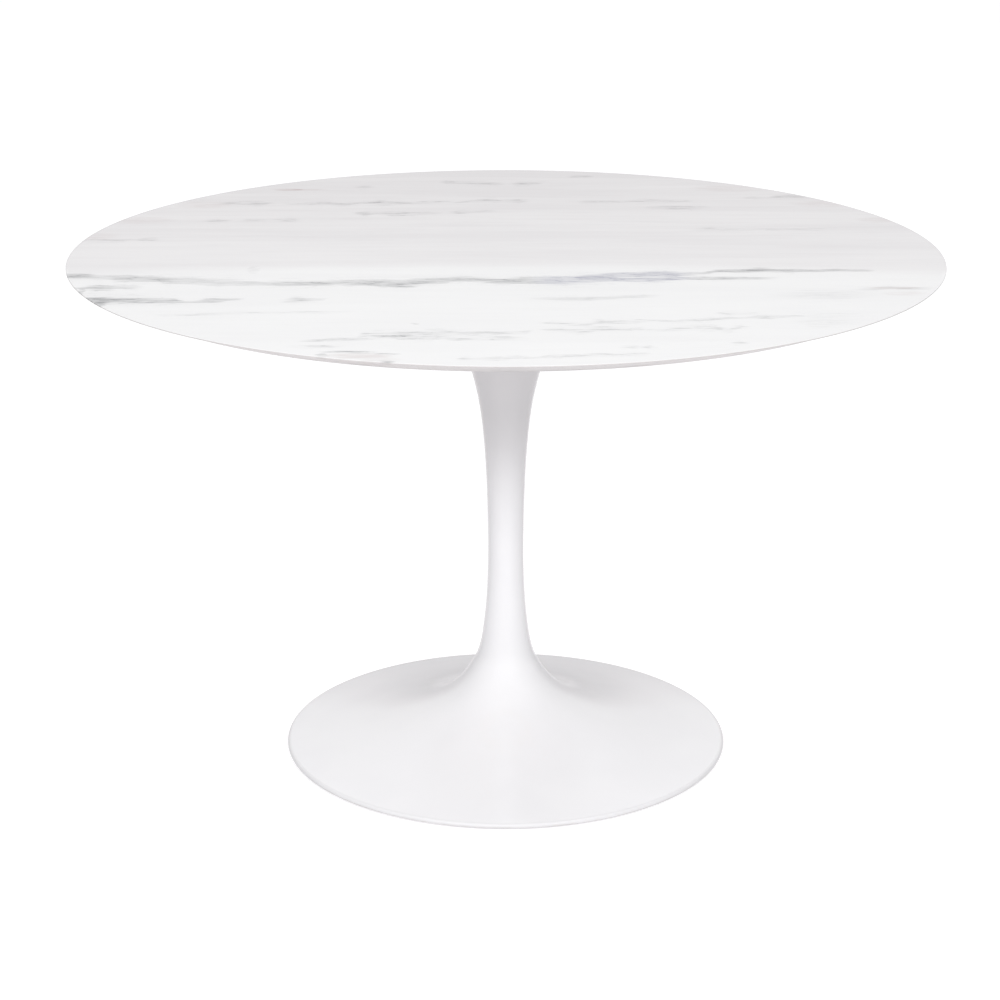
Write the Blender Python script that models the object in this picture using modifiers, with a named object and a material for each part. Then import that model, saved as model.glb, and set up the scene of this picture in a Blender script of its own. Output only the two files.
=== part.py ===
"""Round pedestal table: a turned stone top on a one-piece cast trumpet pedestal.

Frame: +Z up, origin on the floor under the middle of the table, metres.
The pedestal is clamped to a steel plate under the top by one long rod, and the
whole table stands on four swivel levelling glides screwed into its foot.
"""

import math

import bmesh
import bpy
from mathutils import Matrix, Vector

# ---------------------------------------------------------------- dimensions
GAP = 0.0003                 # clearance kept between touching pieces

TABLE_H = 0.725              # floor to top surface
TOP_R = 0.600                # stone top, diameter 1200
TOP_T = 0.020                # slab thickness at its middle
LIP_H = 0.0015               # thin upright edge left by the reverse bevel
ARRIS = 0.0006               # rounding of the top edge
BEVEL_IN_R = 0.550           # where the reverse bevel meets the flat underside

DISC_R = 0.205               # plywood backing disc
DISC_T = 0.012
DISC_CHAMFER = 0.0025

SCREWS = 6
SCREW_PCR = 0.090            # pitch circle radius of the plate screws
SCREW_R = 0.003              # M6
SCREW_HEAD_R = 0.0060
SCREW_L = 0.0160
INSERT_R = 0.0050
INSERT_L = 0.0108

PLATE_R = 0.1400
PLATE_T = 0.005
PLATE_BOSS_R = 0.0180
PLATE_BOSS_H = 0.015

GASKET_IN_R = 0.1150
GASKET_OUT_R = 0.1385
GASKET_T = 0.0020

BASE_R = 0.3175              # foot of the pedestal, diameter 635
RIM_Z = 0.0030               # the rim clears the floor by this much
WALL = 0.0055                # casting wall in the column
WALL_FOOT = 0.0050
WEB_Z = 0.0960               # underside of the clamp web across the column's foot
WEB_T = 0.0100
WEB_HOLE_R = 0.0095

ROD_R = 0.0080               # M16 rod
ROD_LOW = 0.0650
NUT_AF = 0.0240
NUT_H = 0.0130
WASHER_R = 0.0220
WASHER_T = 0.0050
SPRING_R_OUT = 0.0135
SPRING_R_IN = 0.0084
SPRING_T = 0.0040

GLIDE_PCR = 0.2400           # pitch circle radius of the glides
GLIDE_TRAVEL = 0.0060
PAD_R = 0.0160
PAD_H = 0.0042
STUD_R = 0.0040              # M8
STUD_PITCH = 0.00125
HEX_AF = 0.0130
HEX_H = 0.0030
BOSS_R = 0.0105
STUD_TOP = 0.0185

# Outer face of the pedestal, (radius, height), from the flare down to the rim.
FLARE_TO_RIM = [
    (0.1400, 0.6815), (0.1180, 0.6715), (0.1000, 0.6600), (0.0840, 0.6440),
    (0.0705, 0.6240), (0.0605, 0.6020), (0.0533, 0.5780), (0.0473, 0.5540),
    (0.0425, 0.5350), (0.0380, 0.5140), (0.0338, 0.4850), (0.0304, 0.4500),
    (0.0280, 0.4130), (0.0263, 0.3700), (0.0254, 0.3300), (0.0250, 0.2980),
    (0.0253, 0.2700), (0.0263, 0.2420), (0.0281, 0.2120), (0.0311, 0.1840),
    (0.0351, 0.1560), (0.0415, 0.1335), (0.0480, 0.1215), (0.0560, 0.1080),
    (0.0680, 0.0925), (0.0850, 0.0765), (0.1050, 0.0635), (0.1300, 0.0515),
    (0.1600, 0.0408), (0.1900, 0.0325), (0.2200, 0.0258), (0.2500, 0.0200),
    (0.2800, 0.0150), (0.3050, 0.0110), (0.3130, 0.0096),
]

# ------------------------------------------------------- heights of the stack
Z_STONE = TABLE_H - TOP_T
Z_DISC_TOP = Z_STONE - GAP
Z_DISC = Z_DISC_TOP - DISC_T
Z_PLATE_TOP = Z_DISC - GAP
Z_PLATE = Z_PLATE_TOP - PLATE_T
Z_GASKET_TOP = Z_PLATE - GAP
Z_GASKET = Z_GASKET_TOP - GASKET_T
Z_FLARE_TOP = Z_GASKET - GAP


# -------------------------------------------------------------------- helpers
def clear_scene():
    for ob in list(bpy.data.objects):
        bpy.data.objects.remove(ob, do_unlink=True)
    for coll in list(bpy.data.collections):
        bpy.data.collections.remove(coll)


def new_collection(name):
    coll = bpy.data.collections.new(name)
    bpy.context.scene.collection.children.link(coll)
    return coll


def make_material(name, colour, roughness, metallic=0.0, coat=0.0):
    mat = bpy.data.materials.new(name)
    mat.use_nodes = True
    bsdf = mat.node_tree.nodes["Principled BSDF"]
    bsdf.inputs["Base Color"].default_value = (*colour, 1.0)
    bsdf.inputs["Roughness"].default_value = roughness
    bsdf.inputs["Metallic"].default_value = metallic
    bsdf.inputs["Coat Weight"].default_value = coat
    mat.diffuse_color = (*colour, 1.0)
    return mat


def add_object(name, mesh, coll, mat=None, at=(0, 0, 0), turn=0.0, parent=None):
    ob = bpy.data.objects.new(name, mesh)
    coll.objects.link(ob)
    ob.location = at
    ob.rotation_euler = (0, 0, turn)
    if parent is not None:
        ob.parent = parent
    if mat is not None:
        mesh.materials.clear()
        mesh.materials.append(mat)
    return ob


def smooth(mesh, angle=32.0):
    mesh.shade_smooth()
    mesh.set_sharp_from_angle(angle=math.radians(angle))


def as_cutter(ob):
    ob.hide_render = True
    ob.display_type = "WIRE"
    return ob


def profile_object(name, points, coll, steps, closed, mat=None, at=(0, 0, 0),
                   turn=0.0, parent=None):
    """A turned piece: the (radius, height) profile swept round Z by a Screw modifier."""
    bm = bmesh.new()
    verts = [bm.verts.new((r, 0.0, z)) for r, z in points]
    for a, b in zip(verts, verts[1:]):
        bm.edges.new((a, b))
    if closed:
        bm.edges.new((verts[-1], verts[0]))
    mesh = bpy.data.meshes.new(name)
    bm.to_mesh(mesh)
    bm.free()
    ob = add_object(name, mesh, coll, mat, at, turn, parent)
    mod = ob.modifiers.new("turn", "SCREW")
    mod.angle = math.tau
    mod.axis = "Z"
    mod.steps = steps
    mod.render_steps = steps
    mod.use_merge_vertices = True
    mod.merge_threshold = 0.00001
    mod.use_smooth_shade = True
    return ob


def prism(bm, radius, z0, z1, segments, at=(0.0, 0.0), turn=0.0, radius_top=None):
    """A capped cylinder, cone or polygon prism between two heights."""
    top = radius if radius_top is None else radius_top
    place = (Matrix.Translation((at[0], at[1], (z0 + z1) / 2))
             @ Matrix.Rotation(turn, 4, "Z"))
    bmesh.ops.create_cone(bm, cap_ends=True, cap_tris=False, segments=segments,
                          radius1=radius, radius2=top, depth=z1 - z0, matrix=place)


def prism_object(name, pieces, coll, mat=None, at=(0, 0, 0), turn=0.0, parent=None):
    bm = bmesh.new()
    for args in pieces:
        prism(bm, **args)
    mesh = bpy.data.meshes.new(name)
    bm.to_mesh(mesh)
    bm.free()
    return add_object(name, mesh, coll, mat, at, turn, parent)


def boolean(ob, cutter, operation):
    mod = ob.modifiers.new(operation.lower() + "_" + cutter.name, "BOOLEAN")
    mod.operation = operation
    mod.solver = "EXACT"
    mod.object = cutter
    return mod


def shade_by_angle(ob, angle=30.0):
    """Turn the evaluated modifiers into the mesh, then smooth the round faces only."""
    deps = bpy.context.evaluated_depsgraph_get()
    mesh = bpy.data.meshes.new_from_object(ob.evaluated_get(deps))
    old = ob.data
    mats = [m for m in old.materials]
    ob.modifiers.clear()
    ob.data = mesh
    mesh.name = ob.name
    mesh.materials.clear()
    for m in mats:
        mesh.materials.append(m)
    bm = bmesh.new()
    bm.from_mesh(mesh)
    bmesh.ops.remove_doubles(bm, verts=bm.verts, dist=0.000002)
    bmesh.ops.dissolve_degenerate(bm, edges=bm.edges, dist=0.000002)
    bm.to_mesh(mesh)
    bm.free()
    smooth(mesh, angle)
    if old.users == 0:
        bpy.data.meshes.remove(old)


def spline_through(points, per_span):
    """A smooth curve through the control points, parametrised by chord length."""
    pts = [Vector((r, z)) for r, z in points]
    n = len(pts)
    knots = [0.0]
    for a, b in zip(pts, pts[1:]):
        knots.append(knots[-1] + math.sqrt((b - a).length))
    tangents = []
    for i in range(n):
        if i == 0:
            tangents.append((pts[1] - pts[0]) / (knots[1] - knots[0]))
        elif i == n - 1:
            tangents.append((pts[-1] - pts[-2]) / (knots[-1] - knots[-2]))
        else:
            h0, h1 = knots[i] - knots[i - 1], knots[i + 1] - knots[i]
            d0 = (pts[i] - pts[i - 1]) / h0
            d1 = (pts[i + 1] - pts[i]) / h1
            tangents.append((d0 * h1 + d1 * h0) / (h0 + h1))
    out = []
    for i in range(n - 1):
        h = knots[i + 1] - knots[i]
        for k in range(per_span):
            t = k / per_span
            h00 = 2 * t ** 3 - 3 * t ** 2 + 1
            h10 = t ** 3 - 2 * t ** 2 + t
            h01 = -2 * t ** 3 + 3 * t ** 2
            h11 = t ** 3 - t ** 2
            out.append(pts[i] * h00 + tangents[i] * (h * h10)
                       + pts[i + 1] * h01 + tangents[i + 1] * (h * h11))
    out.append(pts[-1])
    return out


def offset_inwards(curve, thickness):
    """The casting's inner face: the outer curve moved along its normal."""
    out = []
    for i, p in enumerate(curve):
        a = curve[max(i - 1, 0)]
        b = curve[min(i + 1, len(curve) - 1)]
        d = (b - a).normalized()
        normal = Vector((d.y, -d.x))      # towards the axis and downwards
        if normal.x > 0:
            normal = -normal
        out.append(p + normal * thickness(p))
    return out


def around(count, radius, start=0.0):
    for i in range(count):
        a = start + math.tau * i / count
        yield i, a, radius * math.cos(a), radius * math.sin(a)


# ---------------------------------------------------------------------- build
clear_scene()
parts = new_collection("round_pedestal_table")
cutters = new_collection("cutters")

STONE = make_material("veined_stone", (0.86, 0.86, 0.87), 0.12, coat=0.3)
PLY = make_material("birch_ply", (0.70, 0.55, 0.36), 0.55)
BRASS = make_material("insert_brass", (0.70, 0.52, 0.24), 0.30, 1.0)
STEEL = make_material("zinc_steel", (0.55, 0.56, 0.57), 0.35, 1.0)
BLACK_STEEL = make_material("blackened_steel", (0.07, 0.07, 0.075), 0.45, 1.0)
RUBBER = make_material("black_rubber", (0.03, 0.03, 0.03), 0.80)
WHITE = make_material("white_enamel", (0.88, 0.88, 0.88), 0.22, coat=0.5)
NYLON = make_material("grey_nylon", (0.30, 0.30, 0.31), 0.50)

# --- stone top: a disc with a small arris, an upright lip and a long bevel beneath
arris = []
for k in range(4):
    a = math.radians(90.0 * (1 - k / 3))
    arris.append((TOP_R - ARRIS + ARRIS * math.cos(a),
                  TABLE_H - ARRIS + ARRIS * math.sin(a)))
stone_profile = [(0.0, TABLE_H)] + arris + [
    (TOP_R, TABLE_H - LIP_H),
    (TOP_R - 0.0006, TABLE_H - LIP_H - 0.0005),
    (BEVEL_IN_R, Z_STONE),
    (0.0, Z_STONE),
]
stone = profile_object("stone_top", stone_profile, parts, 72, False, STONE)
shade_by_angle(stone, 25)

# --- backing disc: plywood, chamfered below, bored right through for the inserts
disc = profile_object("backing_disc", [
    (0.0, Z_DISC_TOP),
    (DISC_R, Z_DISC_TOP),
    (DISC_R, Z_DISC + DISC_CHAMFER),
    (DISC_R - DISC_CHAMFER, Z_DISC),
    (0.0, Z_DISC),
], parts, 36, False, PLY)
insert_holes = prism_object("insert_holes", [
    dict(radius=INSERT_R + GAP, z0=Z_DISC - 0.01, z1=Z_DISC_TOP + 0.01,
         segments=12, at=(x, y))
    for _, _, x, y in around(SCREWS, SCREW_PCR, math.radians(30))
], cutters)
boolean(disc, as_cutter(insert_holes), "DIFFERENCE")
shade_by_angle(disc)

# --- mounting plate: steel disc, countersunk holes, tapped centre boss
plate = profile_object("mounting_plate", [
    (ROD_R + GAP, Z_PLATE_TOP),
    (PLATE_R - 0.0006, Z_PLATE_TOP),
    (PLATE_R, Z_PLATE_TOP - 0.0006),
    (PLATE_R, Z_PLATE + 0.0006),
    (PLATE_R - 0.0006, Z_PLATE),
    (PLATE_BOSS_R + 0.0030, Z_PLATE),
    (PLATE_BOSS_R, Z_PLATE - 0.0030),
    (PLATE_BOSS_R, Z_PLATE - PLATE_BOSS_H + 0.0010),
    (PLATE_BOSS_R - 0.0010, Z_PLATE - PLATE_BOSS_H),
    (ROD_R + GAP, Z_PLATE - PLATE_BOSS_H),
], parts, 36, True, BLACK_STEEL)
sink = SCREW_HEAD_R - SCREW_R
sinks = []
for _, _, x, y in around(SCREWS, SCREW_PCR, math.radians(30)):
    sinks.append((x, y))
plate_holes = prism_object("plate_holes", [
    dict(radius=SCREW_R + GAP, z0=Z_PLATE - 0.01, z1=Z_PLATE_TOP + 0.01,
         segments=12, at=at) for at in sinks
], cutters)
plate_sinks = prism_object("plate_sinks", [
    dict(radius=SCREW_HEAD_R + 0.0019, radius_top=SCREW_R + 0.0002,
         z0=Z_PLATE - 0.0010, z1=Z_PLATE + sink + 0.0007, segments=12, at=at)
    for at in sinks
], cutters)
boolean(plate, as_cutter(plate_holes), "DIFFERENCE")
boolean(plate, as_cutter(plate_sinks), "DIFFERENCE")
shade_by_angle(plate)

# --- threaded inserts and countersunk screws
for i, a, x, y in around(SCREWS, SCREW_PCR, math.radians(30)):
    lo = Z_DISC + GAP
    mid = lo + INSERT_L / 2
    groove = [(INSERT_R, mid + 0.0012), (INSERT_R - 0.0006, mid + 0.0006),
              (INSERT_R - 0.0006, mid - 0.0006), (INSERT_R, mid - 0.0012)]
    insert = profile_object("insert_%d" % (i + 1), [
        (SCREW_R + GAP, lo + INSERT_L),
        (INSERT_R - 0.0005, lo + INSERT_L),
        (INSERT_R, lo + INSERT_L - 0.0005),
    ] + groove + [(INSERT_R, lo), (SCREW_R + GAP, lo)],
        parts, 12, True, BRASS, at=(x, y, 0), turn=a)
    shade_by_angle(insert)

    head = Z_PLATE + 0.0002
    screw = profile_object("plate_screw_%d" % (i + 1), [
        (0.0, head + SCREW_L),
        (SCREW_R - 0.0006, head + SCREW_L),
        (SCREW_R, head + SCREW_L - 0.0006),
        (SCREW_R, head + sink + 0.0003),
        (SCREW_HEAD_R, head + 0.0003),
        (SCREW_HEAD_R, head),
        (0.0, head),
    ], parts, 12, False, STEEL, at=(x, y, 0), turn=a)
    socket = prism_object("socket_%d" % (i + 1), [
        dict(radius=0.0040 / math.sqrt(3), z0=head - 0.002, z1=head + 0.0022,
             segments=6)], cutters, at=(x, y, 0), turn=a)
    boolean(screw, as_cutter(socket), "DIFFERENCE")
    shade_by_angle(screw)

# --- neck gasket between the plate and the pedestal's flare
gasket = profile_object("neck_gasket", [
    (GASKET_IN_R, Z_GASKET_TOP),
    (GASKET_OUT_R, Z_GASKET_TOP),
    (GASKET_OUT_R, Z_GASKET),
    (GASKET_IN_R, Z_GASKET),
], parts, 36, True, RUBBER)
shade_by_angle(gasket)

# --- pedestal: one hollow casting, flare, column and foot, with a web across it
outer = spline_through(FLARE_TO_RIM, 1)
inner_fine = offset_inwards(
    spline_through(FLARE_TO_RIM, 6),
    lambda p: WALL if p.y > 0.12 else WALL_FOOT)


def inner_radius(z):
    """Radius of the casting's inner face at a height."""
    for a, b in zip(inner_fine, inner_fine[1:]):
        if a.y >= z >= b.y:
            return a.x + (b.x - a.x) * (a.y - z) / (a.y - b.y)
    raise ValueError("no inner face at this height")


def inner_between(z_high, z_low, count):
    """Points down the inner face, evenly spread along its own length."""
    run = [p for p in inner_fine if z_low < p.y < z_high]
    run = ([Vector((inner_radius(z_high), z_high))] + run
           + [Vector((inner_radius(z_low), z_low))])
    along = [0.0]
    for a, b in zip(run, run[1:]):
        along.append(along[-1] + (b - a).length)
    out = []
    for k in range(count):
        s = along[-1] * k / (count - 1)
        i = max(j for j in range(len(run) - 1) if along[j] <= s + 1e-12)
        t = (s - along[i]) / (along[i + 1] - along[i])
        out.append(run[i].lerp(run[i + 1], t))
    return out


bore = (inner_between(0.6740, 0.5600, 5)
        + inner_between(0.5600, WEB_Z + WEB_T, 7)[1:])
foot_in = inner_between(WEB_Z, 0.0078, 8)

profile = [(0.1370, Z_FLARE_TOP), (0.1392, Z_FLARE_TOP - 0.0006),
           (0.1400, Z_FLARE_TOP - 0.0018)]
profile += [(p.x, p.y) for p in outer[1:]]
# the rim rolls over and stops just above the floor
rim_c = Vector((BASE_R - 0.0042, RIM_Z + 0.0024))
for k in range(1, 5):
    a = math.radians(76 - 76 * k / 4)
    profile.append((rim_c.x + 0.0042 * math.cos(a), rim_c.y + 0.0042 * math.sin(a)))
profile += [(BASE_R - 0.0010, RIM_Z), (BASE_R - 0.0060, RIM_Z)]
# back up the inside of the foot, across the web and up the bore
profile += [(p.x, p.y) for p in reversed(foot_in)]
profile += [(WEB_HOLE_R, WEB_Z), (WEB_HOLE_R, WEB_Z + WEB_T)]
profile += [(p.x, p.y) for p in reversed(bore)]
profile += [(bore[0].x - 0.0004, 0.6760), (bore[0].x - 0.0004, Z_FLARE_TOP)]
pedestal = profile_object("pedestal", profile, parts, 40, True, WHITE)

hex_low = PAD_H + GAP
hex_top = hex_low + HEX_H
boss_low = hex_top + GAP
glides = [("front", -math.pi / 2), ("right", 0.0), ("back", math.pi / 2),
          ("left", math.pi)]
boss_cores = prism_object("boss_cores", [
    dict(radius=BOSS_R, radius_top=BOSS_R + 0.0015, z0=boss_low, z1=0.0190,
         segments=24,
         at=(GLIDE_PCR * math.cos(a), GLIDE_PCR * math.sin(a)))
    for _, a in glides
], cutters)
boss_holes = prism_object("boss_holes", [
    dict(radius=STUD_R + GAP, z0=boss_low - 0.01, z1=STUD_TOP + 0.0004,
         segments=12,
         at=(GLIDE_PCR * math.cos(a), GLIDE_PCR * math.sin(a)))
    for _, a in glides
], cutters)
boolean(pedestal, as_cutter(boss_cores), "UNION")
boolean(pedestal, as_cutter(boss_holes), "DIFFERENCE")
shade_by_angle(pedestal, 35)

# --- tie rod and the clamp stack under the web
rod_top = Z_PLATE_TOP - 0.0010
rod = profile_object("tie_rod", [
    (0.0, rod_top),
    (ROD_R - 0.0015, rod_top),
    (ROD_R, rod_top - 0.0015),
    (ROD_R, ROD_LOW + 0.0015),
    (ROD_R - 0.0015, ROD_LOW),
    (0.0, ROD_LOW),
], parts, 24, False, STEEL)
shade_by_angle(rod)

washer_top = WEB_Z - GAP
washer = profile_object("clamp_washer", [
    (ROD_R + GAP, washer_top),
    (WASHER_R - 0.0006, washer_top),
    (WASHER_R, washer_top - 0.0006),
    (WASHER_R, washer_top - WASHER_T + 0.0006),
    (WASHER_R - 0.0006, washer_top - WASHER_T),
    (ROD_R + GAP, washer_top - WASHER_T),
], parts, 24, True, STEEL)
shade_by_angle(washer)

# a split spring washer: a square-section ring, cut through at one place
spring_top = washer_top - WASHER_T - GAP
spring = profile_object("spring_washer", [
    (SPRING_R_IN, spring_top),
    (SPRING_R_OUT, spring_top),
    (SPRING_R_OUT, spring_top - SPRING_T),
    (SPRING_R_IN, spring_top - SPRING_T),
], parts, 24, True, STEEL)
bm = bmesh.new()
bmesh.ops.create_cube(bm, size=1.0, matrix=Matrix.Translation(
    (0.011, 0, spring_top - SPRING_T / 2)) @ Matrix.Rotation(
        math.radians(25), 4, "X") @ Matrix.Diagonal((0.009, 0.0016, 0.012, 1)))
split_mesh = bpy.data.meshes.new("spring_split")
bm.to_mesh(split_mesh)
bm.free()
split = add_object("spring_split", split_mesh, cutters)
boolean(spring, as_cutter(split), "DIFFERENCE")
shade_by_angle(spring)

nut_top = spring_top - SPRING_T - GAP
nut_hex_r = NUT_AF / math.sqrt(3)
nut = prism_object("clamp_nut", [
    dict(radius=nut_hex_r, z0=nut_top - NUT_H, z1=nut_top, segments=6)],
    parts, STEEL)
# its corners are turned off at both ends
nut_round = profile_object("nut_round", [
    (0.0, nut_top + 0.001),
    (NUT_AF / 2 * 0.955 - 0.0017, nut_top + 0.001),
    (nut_hex_r + 0.0012, nut_top - 0.0018),
    (nut_hex_r + 0.0012, nut_top - NUT_H + 0.0018),
    (NUT_AF / 2 * 0.955 - 0.0017, nut_top - NUT_H - 0.001),
    (0.0, nut_top - NUT_H - 0.001),
], cutters, 24, False)
nut_bore = prism_object("nut_bore", [
    dict(radius=ROD_R + GAP, z0=nut_top - NUT_H - 0.01, z1=nut_top + 0.01,
         segments=24)], cutters)
boolean(nut, as_cutter(nut_round), "INTERSECT")
boolean(nut, as_cutter(nut_bore), "DIFFERENCE")
shade_by_angle(nut)

# --- levelling glides: a pad that swivels on the lower end of a hexed stud.
# The stud turns in the foot's boss and carries the pad down as it turns.
for label, a in glides:
    x, y = GLIDE_PCR * math.cos(a), GLIDE_PCR * math.sin(a)
    slide = bpy.data.objects.new("glide_axis_" + label, None)
    parts.objects.link(slide)
    slide.location = (x, y, 0)
    pad = profile_object("glide_pad_" + label, [
        (0.0, 0.0012),
        (0.0042, 0.0012),
        (0.0042, PAD_H),
        (0.0080, PAD_H),
        (0.0088, PAD_H - 0.0004),
        (PAD_R - 0.0006, 0.0022),
        (PAD_R, 0.0016),
        (PAD_R, 0.0006),
        (PAD_R - 0.0006, 0.0),
        (0.0, 0.0),
    ], parts, 20, False, NYLON, parent=slide)
    shade_by_angle(pad)
    stud = profile_object("glide_stud_" + label, [
        (0.0, STUD_TOP),
        (STUD_R - 0.0009, STUD_TOP),
        (STUD_R, STUD_TOP - 0.0009),
        (STUD_R, hex_top - 0.0004),
        (0.0062, hex_top - 0.0004),
        (0.0062, hex_low + 0.0004),
        (0.0036, hex_low + 0.0004),
        (0.0036, 0.0021),
        (0.0030, 0.0015),
        (0.0, 0.0015),
    ], parts, 12, False, STEEL, parent=slide)
    hexagon = prism_object("hexagon_" + label, [
        dict(radius=HEX_AF / math.sqrt(3), z0=hex_low, z1=hex_top,
             segments=6)], cutters, at=(x, y, 0))
    boolean(stud, as_cutter(hexagon), "UNION")
    shade_by_angle(stud)

bpy.context.view_layer.update()
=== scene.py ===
"""Looks of the round pedestal table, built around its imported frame."""

import math

import bmesh
import bpy
from mathutils import Matrix, Vector


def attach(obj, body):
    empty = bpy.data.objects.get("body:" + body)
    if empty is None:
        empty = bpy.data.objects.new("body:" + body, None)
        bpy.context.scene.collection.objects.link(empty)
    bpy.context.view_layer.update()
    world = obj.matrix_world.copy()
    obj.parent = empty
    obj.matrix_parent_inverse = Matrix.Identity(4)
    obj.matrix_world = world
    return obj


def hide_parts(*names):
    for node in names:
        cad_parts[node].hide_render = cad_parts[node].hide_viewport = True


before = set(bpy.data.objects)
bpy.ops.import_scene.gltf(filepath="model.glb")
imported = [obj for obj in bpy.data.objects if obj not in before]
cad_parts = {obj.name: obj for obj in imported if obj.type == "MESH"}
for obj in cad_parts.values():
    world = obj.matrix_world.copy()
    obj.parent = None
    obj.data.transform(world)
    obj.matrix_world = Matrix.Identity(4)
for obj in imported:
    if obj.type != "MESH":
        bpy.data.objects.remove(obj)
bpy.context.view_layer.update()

# ------------------------------------------------------------------ dimensions
GAP = 0.0003
TABLE_H = 0.725
TOP_R = 0.600
TOP_T = 0.020
LIP_H = 0.0015
BEVEL_IN_R = 0.550
DISC_R, DISC_T = 0.205, 0.012
PLATE_R, PLATE_T = 0.1400, 0.005
BASE_R = 0.3175
RIM_Z = 0.0030
WEB_Z, WEB_T, WEB_HOLE_R = 0.0960, 0.0100, 0.0095
GLIDE_PCR = 0.2400
SCREW_PCR, SCREWS = 0.090, 6

Z_STONE = TABLE_H - TOP_T
Z_DISC_TOP = Z_STONE - GAP
Z_DISC = Z_DISC_TOP - DISC_T
Z_PLATE_TOP = Z_DISC - GAP
Z_PLATE = Z_PLATE_TOP - PLATE_T
Z_GASKET_TOP = Z_PLATE - GAP
Z_GASKET = Z_GASKET_TOP - 0.0020
Z_FLARE_TOP = Z_GASKET - GAP

FLARE_TO_RIM = [
    (0.1400, 0.6815), (0.1180, 0.6715), (0.1000, 0.6600), (0.0840, 0.6440),
    (0.0705, 0.6240), (0.0605, 0.6020), (0.0533, 0.5780), (0.0473, 0.5540),
    (0.0425, 0.5350), (0.0380, 0.5140), (0.0338, 0.4850), (0.0304, 0.4500),
    (0.0280, 0.4130), (0.0263, 0.3700), (0.0254, 0.3300), (0.0250, 0.2980),
    (0.0253, 0.2700), (0.0263, 0.2420), (0.0281, 0.2120), (0.0311, 0.1840),
    (0.0351, 0.1560), (0.0415, 0.1335), (0.0480, 0.1215), (0.0560, 0.1080),
    (0.0680, 0.0925), (0.0850, 0.0765), (0.1050, 0.0635), (0.1300, 0.0515),
    (0.1600, 0.0408), (0.1900, 0.0325), (0.2200, 0.0258), (0.2500, 0.0200),
    (0.2800, 0.0150), (0.3050, 0.0110), (0.3130, 0.0096),
]

scene = bpy.context.scene


# --------------------------------------------------------------- mesh helpers
def finish_mesh(name, bm, smooth_deg=30.0):
    bmesh.ops.recalc_face_normals(bm, faces=bm.faces)
    mesh = bpy.data.meshes.new(name)
    bm.to_mesh(mesh)
    bm.free()
    mesh.shade_smooth()
    mesh.set_sharp_from_angle(angle=math.radians(smooth_deg))
    ob = bpy.data.objects.new(name, mesh)
    scene.collection.objects.link(ob)
    return ob


def lathe(name, points, steps, closed=False, at=(0.0, 0.0), smooth_deg=30.0):
    """A turned surface from a (radius, height) profile; closed joins its ends."""
    bm = bmesh.new()
    rings = []
    for r, z in points:
        if r < 1e-7:
            rings.append([bm.verts.new((at[0], at[1], z))])
        else:
            rings.append([
                bm.verts.new((at[0] + r * math.cos(math.tau * i / steps),
                              at[1] + r * math.sin(math.tau * i / steps), z))
                for i in range(steps)])
    pairs = list(zip(rings, rings[1:]))
    if closed:
        pairs.append((rings[-1], rings[0]))
    for a, b in pairs:
        if len(a) == 1 and len(b) == 1:
            continue
        for i in range(steps):
            j = (i + 1) % steps
            if len(a) == 1:
                bm.faces.new((a[0], b[j], b[i]))
            elif len(b) == 1:
                bm.faces.new((a[i], a[j], b[0]))
            else:
                bm.faces.new((a[i], a[j], b[j], b[i]))
    return finish_mesh(name, bm, smooth_deg)


def arc(cx, cz, radius, a0, a1, count):
    """Points on a profile arc, angles in degrees."""
    out = []
    for k in range(count + 1):
        a = math.radians(a0 + (a1 - a0) * k / count)
        out.append((cx + radius * math.cos(a), cz + radius * math.sin(a)))
    return out


def cut(ob, cutters, operation="DIFFERENCE", smooth_deg=30.0):
    """Apply Booleans with throwaway cutters, then shade again."""
    for c in cutters:
        mod = ob.modifiers.new("cut", "BOOLEAN")
        mod.operation = operation
        mod.solver = "EXACT"
        mod.object = c
    deps = bpy.context.evaluated_depsgraph_get()
    mesh = bpy.data.meshes.new_from_object(ob.evaluated_get(deps))
    ob.modifiers.clear()
    ob.data = mesh
    mesh.shade_smooth()
    mesh.set_sharp_from_angle(angle=math.radians(smooth_deg))
    for c in cutters:
        bpy.data.objects.remove(c, do_unlink=True)
    return ob


def around(count, radius, start=0.0):
    for i in range(count):
        a = start + math.tau * i / count
        yield i, a, radius * math.cos(a), radius * math.sin(a)


def rods(name, places, r0, r1, z0, z1, segments=32):
    bm = bmesh.new()
    for x, y in places:
        bmesh.ops.create_cone(bm, cap_ends=True, segments=segments, radius1=r0,
                              radius2=r1, depth=z1 - z0,
                              matrix=Matrix.Translation((x, y, (z0 + z1) / 2)))
    return finish_mesh(name, bm)


def spline_through(points, per_span):
    pts = [Vector((r, z)) for r, z in points]
    n = len(pts)
    knots = [0.0]
    for a, b in zip(pts, pts[1:]):
        knots.append(knots[-1] + math.sqrt((b - a).length))
    tangents = []
    for i in range(n):
        if i == 0:
            tangents.append((pts[1] - pts[0]) / (knots[1] - knots[0]))
        elif i == n - 1:
            tangents.append((pts[-1] - pts[-2]) / (knots[-1] - knots[-2]))
        else:
            h0, h1 = knots[i] - knots[i - 1], knots[i + 1] - knots[i]
            d0 = (pts[i] - pts[i - 1]) / h0
            d1 = (pts[i + 1] - pts[i]) / h1
            tangents.append((d0 * h1 + d1 * h0) / (h0 + h1))
    out = []
    for i in range(n - 1):
        h = knots[i + 1] - knots[i]
        for k in range(per_span):
            t = k / per_span
            out.append(pts[i] * (2 * t ** 3 - 3 * t ** 2 + 1)
                       + tangents[i] * (h * (t ** 3 - 2 * t ** 2 + t))
                       + pts[i + 1] * (-2 * t ** 3 + 3 * t ** 2)
                       + tangents[i + 1] * (h * (t ** 3 - t ** 2)))
    out.append(pts[-1])
    return out


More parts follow.
